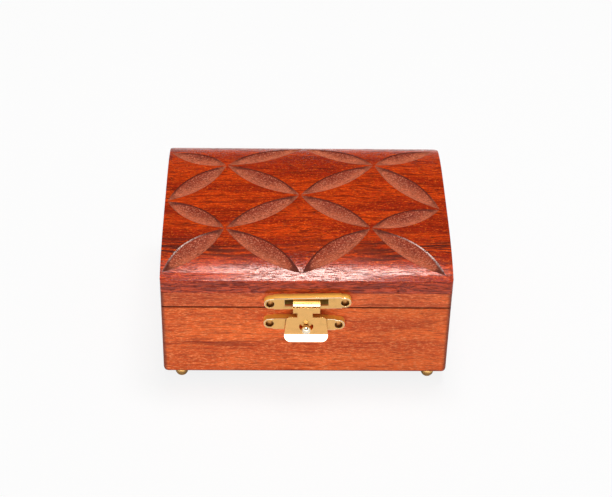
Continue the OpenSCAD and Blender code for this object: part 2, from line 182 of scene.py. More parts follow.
table_whiteness = 0.85
table = Recipe(bpy.data.materials.new("pale_table"))
table_paint = table.node("ShaderNodeBsdfDiffuse", {"Color": (0.88, 0.88, 0.88)})
table_glow = table.node("ShaderNodeEmission", {"Color": (1, 1, 1), "Strength": 1})
table_seen = table.node("ShaderNodeLightPath", output="Is Camera Ray")
table.node(
    "ShaderNodeOutputMaterial",
    {"Surface": table.node(
        "ShaderNodeMixShader",
        {0: table_seen * table_whiteness, 1: table_paint, 2: table_glow},
    )},
)
floor_mesh.materials.append(table.owner)

world = bpy.data.worlds.new("surround")
bpy.context.scene.world = world
sky = Recipe(world)
sky_x, sky_y, sky_z = sky.axes(sky.node("ShaderNodeTexCoord", output="Generated"))
in_front = sky.step(0 - sky_y, 0.70, 0.84)
reflector = in_front * sky.step(sky_z, 0.2, 0.34) * (1 - sky.step(sky_z, 0.60, 0.66))
camera_side = sky.step(0 - sky_y, 0.02, 0.16) * sky.step(sky_z, 0.61, 0.68)
behind = sky.step(sky_y, 0.15, 0.5)
overhead_right = sky.step(sky_x, -0.01, 0.05) * sky.step(sky_z, 0.80, 0.90)
mirrored = (1 + reflector * 2.4 - camera_side * 0.96 - behind * 0.97) * (
    1 - overhead_right * 0.7
)
sky_camera = sky.node("ShaderNodeLightPath", output="Is Camera Ray")
sky_glossy = sky.node("ShaderNodeLightPath", output="Is Glossy Ray")
sky_bounced = sky.step(sky.node("ShaderNodeLightPath", output="Diffuse Depth"), 0.4, 0.6)
sky_mirror = sky_glossy * (1 - sky_bounced)
sky_side = 1.3 - sky.step(sky_y, -0.3, 0.3) * 0.6
sky_level = 0.38
sky_soft = (1 - sky_camera - sky_mirror) * sky_side * sky_level
sky.node(
    "ShaderNodeOutputWorld",
    {"Surface": sky.node(
        "ShaderNodeBackground",
        {
            "Color": (1, 0.99, 0.97),
            "Strength": sky_camera + sky_mirror * mirrored + sky_soft,
        },
    )},
)


def soft_lamp(name, place, aim, width, height, watts):
    """A soft box that faces its aim."""
    data = bpy.data.lights.new(name, "AREA")
    data.shape = "RECTANGLE"
    data.size = width
    data.size_y = height
    data.energy = watts
    lamp = bpy.data.objects.new(name, data)
    lamp.location = place
    lamp.rotation_euler = (Vector(aim) - Vector(place)).to_track_quat("-Z", "Y").to_euler()
    bpy.context.scene.collection.objects.link(lamp)
    return lamp


streak_lamp = soft_lamp(
    "streak_lamp",
    place=(0.014, front_y + 0.045, 0.66),
    aim=(0.01, front_y, 0.04),
    width=0.150,
    height=0.26,
    watts=2.8,
)
streak_lamp.data.color = (1.0, 0.96, 0.89)
streak_lamp.visible_diffuse = False
top_lamp = soft_lamp(
    "top_lamp",
    place=(0.06, 0.10, 0.74),
    aim=(0, 0, 0.04),
    width=0.3,
    height=0.2,
    watts=3.4,
)
top_lamp.visible_glossy = False
front_lamp = soft_lamp(
    "front_lamp",
    place=(-0.2, -1.1, 0.13),
    aim=(0, front_y, 0.03),
    width=0.7,
    height=0.2,
    watts=4.8,
)
front_lamp.visible_glossy = False

# ---- Carved lid board -----------------------------------------------------
# One thick board of dark red hardwood, planed to a dome, lacquered and glued on
# the lid's four rails.  Petals are gouged through the lacquer in a hand-laid
# lattice.

board_low, board_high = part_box("lid_board")
board_edge_z = board_low.z + 5.4 * MM
dome_rise = board_high.z - board_edge_z
dome_power = 4
dome_strips = 150
petal_w = 7.9 * MM
petal_deep = 1.9 * MM
petal_tip_gap = 0.4 * MM
petal_tip_half = 0.015 * MM
cutter_above = 1.5 * MM
carve_pitch_x = 24.7 * MM
carve_pitch_y = 18.9 * MM
carve_front = 2.6 * MM
same_place = 0.01 * MM
# How far each point of the lattice has drifted, in mm, from the front row back.
row_drift = [
    [(-1.1, 0.2), (-1.9, 0.1), (-0.7, -0.5)],
    [(-4.2, 2.4), (-1.6, 2.9)],
    [(-0.9, -1.0), (-2.0, 3.2), (-0.8, -5.1)],
    [(-4.4, 3.0), (1.1, 3.7)],
    [(-0.9, -5.9), (-0.5, -0.1), (-0.4, -2.5)],
]


def dome(y):
    """Height of the board's top above its front and back edges."""
    return dome_rise * (1 - abs(2 * (y - front_y) / box_d - 1) ** dome_power)


def carve_point(row, column):
    drift = Vector(row_drift[row][column]) * MM
    count = len(row_drift[row])
    across = (2 * column + 1 - count) * carve_pitch_x
    return Vector((across, front_y + carve_front + row * carve_pitch_y)) + drift


def add_petal_cutter(bm, start, end, wide, deep):
    """A closed gouge cut between two points: its floor, drawn up over the board."""
    grid = bmesh.ops.create_grid(bm, x_segments=44, y_segments=14, size=1)["verts"]
    span = end - start
    unit = span.normalized()
    across = Vector((-unit.y, unit.x))
    reach = span.length / 2 - petal_tip_gap
    middle = (start + end) / 2
    gouge_r = (wide * wide / 4 + deep * deep) / (2 * deep)
    for vert in grid:
        along = vert.co.x
        half = wide / 2 * (1 - along * along) + petal_tip_half
        side = vert.co.y * half
        place = middle + unit * along * reach + across * side
        sink = math.sqrt(gouge_r**2 - side**2) - math.sqrt(gouge_r**2 - half**2)
        vert.co = Vector((place.x, place.y, board_edge_z + dome(place.y) - sink))
    faces = list({face for vert in grid for face in vert.link_faces})
    lifted = bmesh.ops.extrude_face_region(bm, geom=faces)["geom"]
    raised = [part for part in lifted if isinstance(part, bmesh.types.BMVert)]
    for vert in raised:
        vert.co.z = board_edge_z + dome(vert.co.y) + cutter_above


random.seed(16)
cutter_bm = bmesh.new()
for row in range(len(row_drift) - 1):
    longer, shorter = (row, row + 1) if len(row_drift[row]) == 3 else (row + 1, row)
    for column in range(2):
        for beside in range(2):
            add_petal_cutter(
                cutter_bm,
                carve_point(shorter, column),
                carve_point(longer, column + beside),
                petal_w * random.uniform(0.96, 1.04),
                petal_deep * random.uniform(0.92, 1.05),
            )
bmesh.ops.recalc_face_normals(cutter_bm, faces=cutter_bm.faces)


def wood_figure(wood, grain, seed):
    """Millimetre coordinates with X along the grain, wandering a little."""
    place = wood.node("ShaderNodeTexCoord", output="Object")
    laid = wood.node(
        "ShaderNodeMapping",
        {
            "Vector": place,
            "Location": (seed * 37.0, seed * 11.0, seed * 5.0),
            "Rotation": (0, 0, math.radians(90) if grain == "Y" else 0),
            "Scale": (1000, 1000, 1000),
        },
    )
    drift = wood.node(
        "ShaderNodeTexNoise",
        {"Vector": laid, "Scale": 0.035, "Detail": 2.0, "Roughness": 0.5},
        output="Color",
    )
    centred = wood.node(
        "ShaderNodeVectorMath", {0: drift, 1: (0.5, 0.5, 0.5)}, operation="SUBTRACT"
    )
    bend = wood.node(
        "ShaderNodeVectorMath", {0: centred, 1: (0, 5, 5)}, operation="MULTIPLY"
    )
    return wood.node("ShaderNodeVectorMath", {0: laid, 1: bend}, operation="ADD")


def streaks(wood, figure, length, width, detail=3.0, rough=0.55):
    """Noise drawn out along the grain: its marks' length and width in mm."""
    drawn = wood.node(
        "ShaderNodeVectorMath", {0: figure, 1: (1 / length, 1 / width, 1 / width)},
        operation="MULTIPLY",
    )
    return wood.node(
        "ShaderNodeTexNoise",
        {"Vector": drawn, "Scale": 1.0, "Detail": detail, "Roughness": rough},
    )


lacquer_rough = 0.2


def finish_wood(wood, colour, rough, height, depth, shine, lacquer=0.0):
    """Colour and roughness over grain of a depth in mm, under any thick lacquer."""
    bump = wood.node(
        "ShaderNodeBump", {"Height": height, "Strength": 1.0, "Distance": depth * MM}
    )
    surface = wood.node(
        "ShaderNodeBsdfPrincipled",
        {
            "Base Color": colour,
            "Roughness": rough,
            "Normal": bump,
            "Specular IOR Level": shine,
            "Coat Weight": lacquer,
            "Coat Roughness": lacquer_rough,
        },
    )
    wood.node("ShaderNodeOutputMaterial", {"Surface": surface})
    return wood.owner


def board_rosewood():
    """The board's lacquered top: the most orange wood, with a dark streaky band
    near its front edge and purplish brown wood in its lower edge."""
    wood = Recipe(bpy.data.materials.new("lacquered_lid_board"))
    figure = wood_figure(wood, "X", 3)
    x_at, y_at, z_at = wood.axes(wood.node("ShaderNodeTexCoord", output="Object"))
    bands = wood.step(streaks(wood, figure, 45, 6, 2.0), 0.40, 0.60)
    veins = wood.step(streaks(wood, figure, 12, 0.7, 4.0), 0.50, 0.62)
    fibres = streaks(wood, figure, 3.5, 0.32, 3.0, 0.65)
    specks = streaks(wood, figure, 0.9, 0.42, 2.0, 0.7)
    pores = wood.step(streaks(wood, figure, 1.8, 0.2, 1.0), 0.60, 0.68)
    wander = (streaks(wood, figure, 55, 5, 2.0) - 0.5) * 9 * MM
    band_place = y_at - front_y + wander
    dark_band = wood.step(band_place, 7 * MM, 10 * MM) * (
        1 - wood.step(band_place, 14 * MM, 24 * MM)
    )
    at_sides = wood.step(x_at.size(), 8 * MM, 40 * MM) * 0.45 + 0.5
    band_streaks = wood.step(streaks(wood, figure, 30, 1.1, 4.0), 0.44, 0.58)
    low_edge = wood.step(z_at, board_low.z + 0.02 * MM, board_low.z + 0.1 * MM) * (
        1 - wood.step(z_at, board_edge_z - 0.9 * MM, board_edge_z - 0.3 * MM)
    )
    tone = wood.blend(bands, (0.68, 0.052, 0.002), (0.42, 0.022, 0.002))
    # Pale orange specks: the wood's figure, brightened as painted glints.
    lit = wood.blend(wood.step(specks, 0.54, 0.68) * 0.8, tone, (1.0, 0.165, 0.014))
    veined = wood.blend(veins * 0.65, lit, (0.15, 0.010, 0.002))
    banded = wood.blend(
        dark_band * band_streaks * at_sides, veined, (0.05, 0.012, 0.008)
    )
    edge_lines = wood.step(streaks(wood, figure, 9, 0.6, 3.0), 0.42, 0.58)
    edge_tone = wood.blend(edge_lines, (0.55, 0.058, 0.011), (0.19, 0.020, 0.007))
    edged = wood.blend(low_edge * 0.85, banded, edge_tone)
    furrows = wood.step(fibres, 0.50, 0.62)
    fibred = wood.blend(furrows * 0.8, edged, (0.14, 0.011, 0.002))
    pored = wood.blend(pores * 0.85, fibred, (0.04, 0.005, 0.002))
    rough = 0.11 + furrows * 0.12
    height = 0 - furrows * 0.6 - pores
    worn = wood.step(fibres, 0.46, 0.58) * 0.85
    flecked = wood.step(specks, 0.50, 0.62) * 0.5
    lacquer = (1 - worn) * (1 - flecked) * (1 - pores * 0.8)
    return finish_wood(wood, pored, rough, height, 0.032, 0.12, lacquer)


def gouged_rosewood():
    """Bare wood in the petals: matte and pinkish brown, with tool chatter.  The
    walls that face the front get painted shade and those that face back painted
    light; the rims get a painted shadow, and a painted highlight on the outer front
    petals."""
    wood = Recipe(bpy.data.materials.new("gouged_petals"))
    figure = wood_figure(wood, "X", 3)
    x_at, y_at, z_at = wood.axes(wood.node("ShaderNodeTexCoord", output="Object"))
    toward_back = wood.axes(wood.node("ShaderNodeTexCoord", output="Normal"))[1]
    from_middle = ((y_at - front_y) * (2 / box_d) - 1).size()
    top_z = board_edge_z + dome_rise - from_middle**dome_power * dome_rise
    at_rim = 1 - wood.step(top_z - z_at, 0.18 * MM, 0.42 * MM)
    fibres = streaks(wood, figure, 1.5, 0.4, 4.0, 0.7)
    fuzz = streaks(wood, figure, 0.55, 0.45, 2.0, 0.8)
    patches = wood.step(streaks(wood, figure, 9, 3.5, 3.0), 0.4, 0.6)
    # Painted shade and light: walls that face the front are darker, walls that face back
    # lighter.
    front_wall_shade = (0.30, 0.036, 0.013)
    side = wood.blend(wood.step(toward_back, -0.5, 0.3), front_wall_shade, (0.68, 0.16, 0.070))
    tone = wood.blend(patches * 0.3, side, (0.26, 0.05, 0.03))
    fibred = wood.blend(wood.step(fibres, 0.46, 0.58) * 0.65, tone, (0.11, 0.012, 0.006))
    fuzzed = wood.blend(wood.step(fuzz, 0.52, 0.64) * 0.6, fibred, (0.82, 0.30, 0.17))
    # A painted shadow along the petals' rims, darker on rims that face the front.
    facing_front = 1 - wood.step(toward_back, -0.25, 0.05)
    rim_shadow_share = at_rim * (0.35 + facing_front * 0.5)
    rim_shadowed = wood.blend(rim_shadow_share, fuzzed, (0.07, 0.008, 0.004))
    # A painted highlight: pale rims on the front-facing walls of the outer front petals.
    outer_front = (1 - wood.step(y_at - front_y, 14 * MM, 22 * MM)) * wood.step(
        x_at.size(), 24 * MM, 27 * MM
    )
    pale = at_rim * outer_front * (1 - wood.step(toward_back, -0.5, -0.3))
    rim_highlighted = wood.blend(pale * wood.step(fuzz, 0.40, 0.52), rim_shadowed, (0.9, 0.70, 0.62))
    height = fibres * 0.5 + fuzz * 0.8
    return finish_wood(wood, rim_highlighted, 0.5 + fuzz * 0.3, height, 0.12, 0.12)


cutter_mesh = bpy.data.meshes.new("petal_cutters")
cutter_bm.to_mesh(cutter_mesh)
cutter_bm.free()
gouged = gouged_rosewood()
lid_board_finish = board_rosewood()
cutter_mesh.materials.append(gouged)
cutters = bpy.data.objects.new("petal_cutters", cutter_mesh)
bpy.context.scene.collection.objects.link(cutters)


def set_eases(bm, ease_of, widest):
    """Writes how far each edge is rounded, as a share of the widest."""
    shares = bm.edges.layers.float.new("bevel_weight_edge")
    for edge in bm.edges:
        if len(edge.link_faces) == 2:
            edge[shares] = ease_of(edge) / widest


def smooth_but_sharp(bm, sharp_degrees=32):
    for face in bm.faces:
        face.smooth = True
    for edge in bm.edges:
        edge.smooth = edge.calc_face_angle(0) < math.radians(sharp_degrees)


def add_piece(name, bm, body, nodes, finish):
    """Makes a bmesh a piece of the object, which stands for any nodes named."""
    mesh = bpy.data.meshes.new(name)
    bm.to_mesh(mesh)
    bm.free()
    piece = bpy.data.objects.new(name, mesh)
    bpy.context.scene.collection.objects.link(piece)
    if finish:
        mesh.materials.append(finish)
    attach(piece, body)
    if nodes:
        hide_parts(*nodes)
    return piece


def add_ease(piece, width, segments, keep_clear=True, slot_number=-1):
    ease = piece.modifiers.new("ease", "BEVEL")
    ease.material = slot_number
    ease.width = width
    ease.segments = segments
    ease.limit_method = "WEIGHT"
    ease.use_clamp_overlap = keep_clear
    ease.harden_normals = True


board_bm = bmesh.new()
bmesh.ops.create_cube(board_bm, size=1)
bmesh.ops.scale(board_bm, vec=board_high - board_low, verts=board_bm.verts)
bmesh.ops.translate(board_bm, vec=(board_low + board_high) / 2, verts=board_bm.verts)


def corner_edges(bm, place):
    """The upright edges of a block at corners that pass the test."""
    return [
        edge
        for edge in bm.edges
        if abs(edge.verts[0].co.z - edge.verts[1].co.z) > MM
        and place(edge.verts[0].co)
    ]


def round_corners(bm, edges, radius):
    bmesh.ops.bevel(
        bm,
        geom=edges,
        offset=radius,
        offset_type="OFFSET",
        segments=6,
        profile=0.5,
        affect="EDGES",
        clamp_overlap=True,
        material=-1,
    )


front_corner_r = 0.9 * MM
back_left_corner_r = 1.6 * MM
back_right_corner_r = 2.6 * MM
front_corners = corner_edges(board_bm, lambda co: co.y < 0)
round_corners(board_bm, front_corners, front_corner_r)
back_left = corner_edges(board_bm, lambda co: co.y > 0 and co.x < MM - box_w / 2)
round_corners(board_bm, back_left, back_left_corner_r)
back_right = corner_edges(board_bm, lambda co: co.y > back_y - MM and co.x > 0)
round_corners(board_bm, back_right, back_right_corner_r)
for strip in range(1, dome_strips):
    bmesh.ops.bisect_plane(
        board_bm,
        geom=board_bm.verts[:] + board_bm.edges[:] + board_bm.faces[:],
        plane_co=(0, front_y + box_d * strip / dome_strips, 0),
        plane_no=(0, 1, 0),
    )
for vert in board_bm.verts:
    if vert.co.z > board_edge_z:
        vert.co.z = board_edge_z + dome(vert.co.y)
side_round = 1.3 * MM
end_round = 0.35 * MM
under_round = 0.1 * MM


def board_ease(edge):
    """The top's outline is rounded, more at the sides than front and back."""
    if edge.calc_face_angle(0) < math.radians(35):
        return 0
    if all(abs(vert.co.z - board_low.z) < same_place for vert in edge.verts):
        return under_round
    if abs(edge.verts[0].co.x) > box_w / 2 - 3 * MM:
        return side_round
    return end_round


set_eases(board_bm, board_ease, side_round)
board_blank = bpy.data.meshes.new("lid_board_blank")
board_bm.to_mesh(board_blank)
board_bm.free()
blank = bpy.data.objects.new("lid_board_blank", board_blank)
bpy.context.scene.collection.objects.link(blank)
board_blank.materials.append(lid_board_finish)
ease = blank.modifiers.new("ease", "BEVEL")
ease.width = side_round
ease.segments = 5
ease.limit_method = "WEIGHT"
carve = blank.modifiers.new("carve", "BOOLEAN")
carve.object = cutters
carve.operation = "DIFFERENCE"
carve.solver = "EXACT"
carve.material_mode = "TRANSFER"
bpy.context.view_layer.update()
carved = bpy.data.meshes.new_from_object(
    blank.evaluated_get(bpy.context.evaluated_depsgraph_get())
)
bpy.data.objects.remove(blank)
bpy.data.objects.remove(cutters)
carved_bm = bmesh.new()
carved_bm.from_mesh(carved)
smooth_but_sharp(carved_bm, 24)
for edge in carved_bm.edges:
    if len({face.material_index for face in edge.link_faces}) > 1:
        edge.smooth = False
carved_lid = add_piece("carved_lid_board", carved_bm, "lid", ["lid_board"], None)
for material in carved.materials:
    carved_lid.data.materials.append(material)

# ---- Lid rails and base walls ----------------------------------------------
# Planed strips of the same hardwood, butt-jointed and glued at the corners,
# with their outer edges eased by hand and the whole box lacquered.

wall_thick = wall_high.y - wall_low.y
rim_ease = 0.35 * MM
joint_ease = 0.12 * MM
corner_ease = 1.2 * MM
foot_ease = 1.7 * MM


def lacquered_rosewood(name, grain, seed, pale, light, deep, dark, smoke_and_shade=0.0):
    """Red hardwood under lacquer: broad bands, dark streaks, fibres and pores, with
    painted shade along the box's upright corners and bottom edges and in the gap
    between lid and base.  Given a share of smoke, a smoky streak low on the left
    is darker, and the right half is darker as painted shade."""
    wood = Recipe(bpy.data.materials.new(name))
    figure = wood_figure(wood, grain, seed)
    x_at, y_at, z_at = wood.axes(wood.node("ShaderNodeTexCoord", output="Object"))
    bands = wood.step(streaks(wood, figure, 60, 7, 2.0), 0.38, 0.62)
    veins = wood.step(streaks(wood, figure, 22, 0.9, 4.0), 0.54, 0.66)
    fibres = streaks(wood, figure, 5, 0.36, 3.0, 0.65)
    specks = streaks(wood, figure, 1.4, 0.42, 2.0, 0.7)
    pores = wood.step(streaks(wood, figure, 2.0, 0.18, 1.0), 0.62, 0.70)
    at_side = wood.step(x_at.size(), box_w / 2 - 1.8 * MM, box_w / 2 - 0.4 * MM)
    from_middle = (y_at - (front_y + back_y) / 2).size()
    at_end = wood.step(from_middle, box_d / 2 - 1.8 * MM, box_d / 2 - 0.4 * MM)
    at_foot = 1 - wood.step(z_at, wood_z + 0.5 * MM, wood_z + 1.3 * MM)
    tone = wood.blend(bands, light, deep)
    lit = wood.blend(wood.step(specks, 0.48, 0.66) * 0.6, tone, pale)
    darkened = veins * 0.5
    if smoke_and_shade:
        smoky = wood.step(streaks(wood, figure, 30, 1.5, 4.0), 0.45, 0.6) * smoke_and_shade
        height_off = (z_at - wood_z - 14.3 * MM).size()
        smoke_here = (1 - wood.step(height_off, 0, 4 * MM)) * (
            1 - wood.step(x_at, -22 * MM, -2 * MM)
        )
        darkened = darkened + smoky * smoke_here
        # The right half is darker: painted shade.
        lit = wood.blend(wood.step(x_at, -5 * MM, 30 * MM) * smoke_and_shade * 0.3, lit, dark)
    veined = wood.blend(darkened, lit, dark)
    fibred = wood.blend(wood.step(fibres, 0.48, 0.62) * 0.5, veined, dark)
    pored = wood.blend(pores * 0.55, fibred, dark)
    # Painted shade on the rounded upright corners.
    corner_shaded = wood.blend(at_side * at_end * 0.75, pored, (0.10, 0.03, 0.022))
    # Painted shade in the gap between lid and base.
    at_seam = 1 - wood.step((z_at - part_z - 0.08 * MM).size(), 0.2 * MM, 0.5 * MM)
    seamed = wood.blend(at_seam * 0.75, corner_shaded, (0.08, 0.016, 0.010))
    # Painted shade along the rounded bottom edge.
    foot_shaded = wood.blend(at_foot * 0.85, seamed, (0.07, 0.018, 0.012))
    rough = 0.26 + fibres * 0.18
    height = fibres * 0.5 - pores * 0.6
    return finish_wood(wood, foot_shaded, rough, height, 0.05, 0.1)


def merged_copy(node):
    """A bmesh of a CAD node, with its loose triangles merged into faces."""
    bm = bmesh.new()
    bm.from_mesh(frame["nodes"][node].data)
    bmesh.ops.remove_doubles(bm, verts=bm.verts, dist=1e-6)
    bmesh.ops.dissolve_limit(
        bm, angle_limit=math.radians(0.5), verts=bm.verts, edges=bm.edges
    )
    return bm


def wall_ease(edge):
    """Outer corners are rounded, rims and joints only eased."""
    if edge.calc_face_angle(0) < math.radians(30) or edge.calc_length() < MM:
        return 0
    middle = (edge.verts[0].co + edge.verts[1].co) / 2
    at_side = abs(abs(middle.x) - box_w / 2) < same_place
    at_end = min(abs(middle.y - front_y), abs(middle.y - back_y)) < same_place
    at_foot = abs(middle.z - wood_z) < same_place
    at_hinges = middle.y > back_y - wall_thick - MM and middle.z > wood_z + 20 * MM
    if at_foot and (at_side or at_end):
        return foot_ease
    if at_side and at_end:
        return corner_ease
    if at_hinges:
        return 0
    if abs(middle.z - part_z) < 0.2 * MM:
        return rim_ease
    return joint_ease if abs(middle.z - board_low.z) < 0.2 * MM else 0


wall_tones = (
    (1.0, 0.34, 0.12),
    (0.84, 0.150, 0.032),
    (0.62, 0.090, 0.022),
    (0.24, 0.030, 0.012),
)
rail_tones = (
    (0.90, 0.28, 0.11),
    (0.76, 0.140, 0.038),
    (0.54, 0.085, 0.028),
    (0.19, 0.026, 0.013),
)
for number, (node, body, grain, tones) in enumerate((
    ("base_front_wall", "base", "X", wall_tones),
    ("base_back_wall", "base", "X", wall_tones),
    ("base_left_wall", "base", "Y", wall_tones),
    ("base_right_wall", "base", "Y", wall_tones),
    ("lid_front_rail", "lid", "X", rail_tones),
    ("lid_back_rail", "lid", "X", rail_tones),
    ("lid_left_rail", "lid", "Y", rail_tones),
    ("lid_right_rail", "lid", "Y", rail_tones),
)):
    wall_bm = merged_copy(node)
    set_eases(wall_bm, wall_ease, foot_ease)
    smooth_but_sharp(wall_bm)
    smoke_and_shade = 0.7 if node == "base_front_wall" else 0.0
    finish = lacquered_rosewood("rosewood_" + node, grain, number + 1, *tones, smoke_and_shade)
    piece = add_piece("eased_" + node, wall_bm, body, [node], finish)
    add_ease(piece, foot_ease, 5, keep_clear=False)

# ---- Bottom board and felt ---------------------------------------------------
# A plain board glued between the walls, level with their lower edges, and a
# sheet of dark red felt glued on it inside the box.

bottom = lacquered_rosewood(
    "rosewood_bottom_board",
    "X",
    12,
    (0.60, 0.16, 0.05),
    (0.50, 0.10, 0.03),
    (0.36, 0.06, 0.02),
    (0.13, 0.02, 0.01),
)
frame["nodes"]["base_floor"].data.materials.clear()
frame["nodes"]["base_floor"].data.materials.append(bottom)

felt = Recipe(bpy.data.materials.new("dark_red_felt"))
felt_place = felt.node("ShaderNodeTexCoord", output="Object")
felt_fuzz = felt.node(
    "ShaderNodeTexNoise",
    {"Vector": felt_place, "Scale": 2600.0, "Detail": 4.0, "Roughness": 0.75},
)
felt_clumps = felt.node(
    "ShaderNodeTexNoise", {"Vector": felt_place, "Scale": 420.0, "Detail": 3.0}
)
felt_nap = felt.step(felt_fuzz, 0.3, 0.7)
felt_tone = felt.blend(felt_nap, (0.07, 0.003, 0.005), (0.36, 0.018, 0.026))
felt_colour = felt.blend(felt_clumps * 0.4, felt_tone, (0.15, 0.006, 0.010))
felt_bump = felt.node(
    "ShaderNodeBump",
    {"Height": felt_fuzz + felt_clumps, "Strength": 1.0, "Distance": 0.25 * MM},
)
felt_surface = felt.node(
    "ShaderNodeBsdfPrincipled",
    {
        "Base Color": felt_colour,
        "Roughness": 0.95,
        "Normal": felt_bump,
        "Specular IOR Level": 0.1,
        "Sheen Weight": 0.15,
        "Sheen Roughness": 0.5,
    },
)
felt.node("ShaderNodeOutputMaterial", {"Surface": felt_surface})
felt_low, felt_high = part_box("base_felt_lining")
felt_round = 0.3 * MM
felt_bm = merged_copy("base_felt_lining")
set_eases(
    felt_bm, lambda edge: felt_round if edge.verts[0].co.z > felt_low.z else 0, felt_round
)
smooth_but_sharp(felt_bm)
felt_piece = add_piece(
    "felt_lining", felt_bm, "base", ["base_felt_lining"], felt.owner
)
add_ease(felt_piece, felt_round, 3)

# ---- Ball feet -----------------------------------------------------------------
# Four turned brass balls, each with a short neck and a pin driven up into the
# corner of the box.


def polished_brass(name, colour, rough, seed, wear=0.0, walls=0.0):
    """Brass with faint rubbing marks and a breath of tarnish.  On the walls that
    the press has drawn it is rougher, and there a matte orange colour stands in
    for their gold reflection: a painted reflection."""
    brass = Recipe(bpy.data.materials.new(name))
    place = brass.node("ShaderNodeTexCoord", output="Object")
    moved = brass.node(
        "ShaderNodeMapping", {"Vector": place, "Location": (seed * 0.013, 0, seed * 0.007)}
    )
    tarnish = brass.node(
        "ShaderNodeTexNoise", {"Vector": moved, "Scale": 420.0, "Detail": 3.0, "Roughness": 0.6}
    )
    rubbed = brass.node(
        "ShaderNodeTexNoise", {"Vector": moved, "Scale": 2600.0, "Detail": 2.0}
    )
    facing = brass.axes(brass.node("ShaderNodeTexCoord", output="Normal"))[1].size()
    drawn = 1 - brass.step(facing, 0.1, 0.6)
    dark = tuple(part * 0.66 for part in colour)
    bright = brass.blend(brass.step(tarnish, 0.45, 0.8) * (0.3 + wear), colour, dark)
    tone = bright
    # The drawn walls' matte orange is a painted reflection.
    if walls:
        tone = brass.blend(drawn * min(walls * 3, 1), bright, (1.0, 0.50, 0.07))
    surface = brass.node(
        "ShaderNodeBsdfPrincipled",
        {
            "Base Color": tone,
            "Metallic": 1 - drawn * walls * 3 if walls else 1.0,
            "Roughness": rough + tarnish * 0.08 + drawn * walls,
            "Normal": brass.node(
                "ShaderNodeBump",
                {"Height": rubbed, "Strength": 1.0, "Distance": 0.006 * MM},
            ),
        },
    )
    brass.node("ShaderNodeOutputMaterial", {"Surface": surface})
    return brass.owner


def turned(bm, profile, centre, axis, steps=48):
    """Turns a profile of (radius, distance along the axis) points on a lathe."""
    sideways = axis.orthogonal().normalized()
    verts = [bm.verts.new(centre + sideways * r + axis * far) for r, far in profile]
    edges = [bm.edges.new(pair) for pair in zip(verts, verts[1:])]
    bmesh.ops.spin(
        bm,
        geom=verts + edges,
        cent=centre,
        axis=axis,
        angle=math.tau,
        steps=steps,
        use_merge=True,
    )
    bmesh.ops.remove_doubles(bm, verts=bm.verts, dist=1e-6)
    bmesh.ops.recalc_face_normals(bm, faces=bm.faces)


def arc(radius, middle, start, end, count):
    """Points of a turned ball: radius, place of its middle, angles from the axis."""
    return [
        (
            radius * math.sin(math.radians(start + (end - start) * i / count)),
            middle + radius * math.cos(math.radians(start + (end - start) * i / count)),
        )
        for i in range(count + 1)
    ]


foot_brass = polished_brass("foot_brass", (0.84, 0.50, 0.17), 0.22, 1)
UP = Vector((0, 0, 1))
foot_flat = 0.15 * MM
foot_collar_r = 1.45 * MM
foot_neck_r = 1.3 * MM
foot_pin_r = 0.8 * MM
for node in ("front_left_foot", "front_right_foot", "back_left_foot", "back_right_foot"):
    foot_low, foot_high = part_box(node)
    foot_r = (foot_high.x - foot_low.x) / 2
    middle = (foot_low + foot_high) / 2
    ball_z = foot_r - foot_flat
    flat_angle = math.degrees(math.acos(ball_z / foot_r))
    profile = [(0, 0)] + arc(foot_r, ball_z, 180 - flat_angle, 32, 20) + [
        (foot_neck_r, wood_z - 0.35 * MM),
        (foot_collar_r, wood_z - 0.2 * MM),
        (foot_neck_r, wood_z),
        (foot_pin_r, wood_z),
        (foot_pin_r, foot_high.z),
        (0, foot_high.z),
    ]
    foot_bm = bmesh.new()
    turned(foot_bm, profile, Vector((middle.x, middle.y, 0)), UP)
    smooth_but_sharp(foot_bm, 45)
    add_piece("turned_" + node, foot_bm, "base", [node], foot_brass)

# ---- Hinges -----------------------------------------------------------------
# Two small butt hinges of pressed brass, let into the lid's back rail and the
# back wall, each with a drawn brass pin and two nails in each leaf.

hinge_brass = polished_brass("hinge_brass", (0.82, 0.50, 0.18), 0.24, 2, 0.2)
pin_brass = polished_brass("pin_brass", (0.72, 0.50, 0.24), 0.3, 3, 0.2)
leaf_round = 0.1 * MM
for side in ("left", "right"):
    for node, body in (
        (side + "_hinge_base_leaf", "base"),
        (side + "_hinge_lid_leaf", "lid"),
    ):
        leaf_bm = merged_copy(node)
        set_eases(
            leaf_bm,
            lambda edge: leaf_round if edge.calc_face_angle(0) > math.radians(40) else 0,
            leaf_round,
        )
        smooth_but_sharp(leaf_bm, 40)
        leaf = add_piece("pressed_" + node, leaf_bm, body, [node], hinge_brass)
        add_ease(leaf, leaf_round, 2)
for node in ("left_hinge_pin", "right_hinge_pin", "hinge_base_nails", "hinge_lid_nails"):
    frame["nodes"][node].data.materials.clear()
    frame["nodes"][node].data.materials.append(pin_brass)

# ---- Latch plates -------------------------------------------------------------
# Two plates pressed from thin brass sheet into shallow trays with rolled
# edges.  Each has a dimple in either end for the nail that holds it.

plate_brass = polished_brass("pressed_plate_brass", (0.86, 0.50, 0.17), 0.18, 4, 0.1, 0.45)
plate_roll = 0.55 * MM
hole_roll = 0.08 * MM
dimple_reach = 1.6
dimple_start = 0.1 * MM
# Paler brass for a painted highlight on faces that catch the bright surround.
bright_brass = polished_brass("painted_highlight_brass", (0.97, 0.86, 0.64), 0.14, 10)
# Darker brass in the nail dimples: painted shade.
dimple_brass = polished_brass("dimple_shade_brass", (0.34, 0.17, 0.05), 0.4, 9, 0.6)


def nail_places(node):
    """Where a plate's two nails stand, and how wide their heads are."""
    low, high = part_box(node)
    corners = [vert.co for vert in frame["nodes"][node].data.vertices]
    places = []
    for side in (-1, 1):
        own = [co for co in corners if (co.x - (low.x + high.x) / 2) * side > 0]
        left, right = min(co.x for co in own), max(co.x for co in own)
        foot, head = min(co.z for co in own), max(co.z for co in own)
        places.append((Vector(((left + right) / 2, (foot + head) / 2)), (right - left) / 2))
    return places


